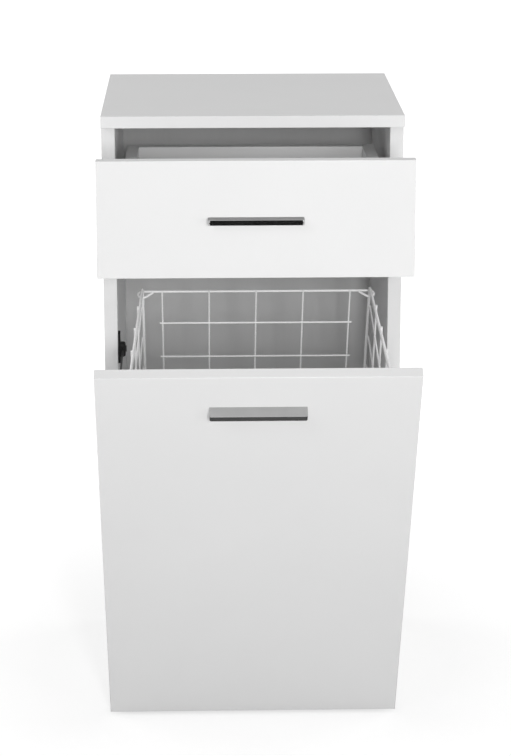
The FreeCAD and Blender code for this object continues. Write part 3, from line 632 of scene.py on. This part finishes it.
# %% [markdown]
# ## Screws with driven heads
# A real screw has a domed head with a cross recess and a thread. The construction solid is a plain
# pin with a flat disc, but it gives the place, the axis and the sizes: its longest direction is the
# axis, and the end with the larger radius is the head. Each solid is read that way and a finer
# screw is turned on the same axis.


# %% Read the pins
RIM_SHARE = 0.99
TIP_DEPTH = 0.0003


def islands(name):
    """The separate solids of a node, each as a list of points."""
    mesh = bmesh.new()
    mesh.from_mesh(nodes[name].data)
    bmesh.ops.remove_doubles(mesh, verts=mesh.verts, dist=WELD)
    left = set(mesh.verts)
    found = []
    for start in mesh.verts:
        if start not in left:
            continue
        left.remove(start)
        group = [start]
        for vert in group:
            for edge in vert.link_edges:
                other = edge.other_vert(vert)
                if other in left:
                    left.remove(other)
                    group.append(other)
        found.append([vert.co.copy() for vert in group])
    mesh.free()
    return found


def read_pin(points):
    """The seat of a screw's head as a matrix whose Z points out of the head, and its sizes."""
    cloud = numpy.array(points)
    middle = Vector(cloud.mean(axis=0))
    out = Vector(numpy.linalg.svd(cloud - cloud.mean(axis=0))[2][0])
    steps = [(point - middle).dot(out) for point in points]
    radii = [(point - middle - out * step).length for point, step in zip(points, steps)]
    head = max(radii)
    rim = [step for step, radius in zip(steps, radii) if radius > head * RIM_SHARE]
    if sum(rim) < 0:
        out = -out
        steps = [-step for step in steps]
        rim = [-step for step in rim]
    seat = min(rim)
    shank = max(radius for step, radius in zip(steps, radii) if step < min(steps) + TIP_DEPTH)
    turn = out.to_track_quat("Z", "Y").to_matrix().to_4x4()
    place = Matrix.Translation(middle + out * seat) @ turn
    return place, head, max(steps) - seat, shank, seat - min(steps)


stay_pins = [read_pin(points) for points in islands("stay_guide_screws")]
print("stay screws", [[round(size * 1000, 2) for size in pin[1:]] for pin in stay_pins])

# %% [markdown]
# The screw itself is a set of rings, joined like the hoops of a barrel: a point, a ribbed shank and
# a domed head. The ring on top of the head is filled up to a cross, and the cross is sunk. A head
# with no height is a countersunk one, so its underside runs in a cone instead.

# %% Turn a screw
RING_POINTS = 24
THREAD_PITCH = 0.0014
THREAD_CREST = 0.45
CORE_SHARE = 0.8
TIP_SHARE = 0.12
TIP_LENGTH = 2.4
FLUSH = 0.0001
CROSS_REACH = 0.52
CROSS_ARM = 0.13
CROSS_DEPTH = 0.4
CROSS_FLOOR_REACH = 0.38
CROSS_FLOOR_ARM = 0.1


def ring(mesh, place, radius, height):
    angles = [math.tau * i / RING_POINTS for i in range(RING_POINTS)]
    spots = [Vector((radius * math.cos(angle), radius * math.sin(angle), height)) for angle in angles]
    return [mesh.verts.new(place @ spot) for spot in spots]


def hoop(mesh, lower, upper):
    for i in range(len(lower)):
        j = (i + 1) % len(lower)
        face = mesh.faces.new((lower[i], lower[j], upper[j], upper[i]))
        face.smooth = True


def cross_outline(reach, arm, height):
    """The twelve corners of a cross, anticlockwise."""
    quarter = (Vector((reach, -arm, height)), Vector((reach, arm, height)), Vector((arm, arm, height)))
    return [Matrix.Rotation(math.tau * k / 4, 4, "Z") @ corner for k in range(4) for corner in quarter]


def shank_rings(shank, length, top):
    """Radius and height of each ring from the point up to just under the head."""
    height = -length + shank * TIP_LENGTH
    rings = [(shank * TIP_SHARE, -length), (shank * CORE_SHARE, height)]
    while height + THREAD_PITCH < top:
        rings.append((shank, height + THREAD_PITCH * THREAD_CREST))
        rings.append((shank * CORE_SHARE, height + THREAD_PITCH))
        height += THREAD_PITCH
    return rings


def head_rings(head, rise, shank):
    """Radius and height of each ring of the head, countersunk where it does not rise."""
    if rise < FLUSH:
        return [(shank, shank - head), (head, -FLUSH), (head * 0.96, 0.0), (head * 0.7, 0.0)]
    shares = ((1.0, 0.0), (1.0, 0.3), (0.95, 0.6), (0.84, 0.84), (0.68, 0.97))
    return [(head * across, rise * up) for across, up in shares]


def turn_screw(mesh, pin, roll):
    place, head, rise, shank, length = pin
    place = place @ Matrix.Rotation(roll, 4, "Z")
    heads = head_rings(head, rise, shank)
    sizes = shank_rings(shank, length, heads[0][1]) + heads
    hoops = [ring(mesh, place, radius, height) for radius, height in sizes]
    for lower, upper in zip(hoops, hoops[1:]):
        hoop(mesh, lower, upper)
    mesh.faces.new(reversed(hoops[0]))
    top = heads[-1][1]
    upper_cross = cross_outline(head * CROSS_REACH, head * CROSS_ARM, top)
    lower_cross = cross_outline(
        head * CROSS_FLOOR_REACH, head * CROSS_FLOOR_ARM, top - head * CROSS_DEPTH)
    mouth = [mesh.verts.new(place @ corner) for corner in upper_cross]
    bottom = [mesh.verts.new(place @ corner) for corner in lower_cross]
    for i in range(len(mouth)):
        j = (i + 1) % len(mouth)
        mesh.faces.new((mouth[i], mouth[j], bottom[j], bottom[i]))
    mesh.faces.new(bottom)
    rim = [edge for vert in hoops[-1] + mouth for edge in vert.link_edges if edge.is_boundary]
    bmesh.ops.triangle_fill(mesh, use_beauty=True, use_dissolve=False, edges=list(dict.fromkeys(rim)))


# %% [markdown]
# Every screw of a node is turned into one mesh, and each is rolled a little further than the last,
# because nobody lines up the crosses of screws.

# %% Replace every screw
SCREW_NODES = (
    "runner_rail_screws", "runner_slide_screws", "stay_guide_screws", "stay_bar_screws",
    "basket_clip_screws", "drawer_handle_screws", "flap_handle_screws",
    "hinge_frame_screws", "hinge_flap_screws",
)
ROLL_STEP = 0.7
screw_count = 0
for name in SCREW_NODES:
    mesh = bmesh.new()
    for points in islands(name):
        turn_screw(mesh, read_pin(points), ROLL_STEP * screw_count)
        screw_count += 1
    bmesh.ops.recalc_face_normals(mesh, faces=mesh.faces)
    take_over(name, mesh, "turned_")
print("turned", screw_count, "screws")
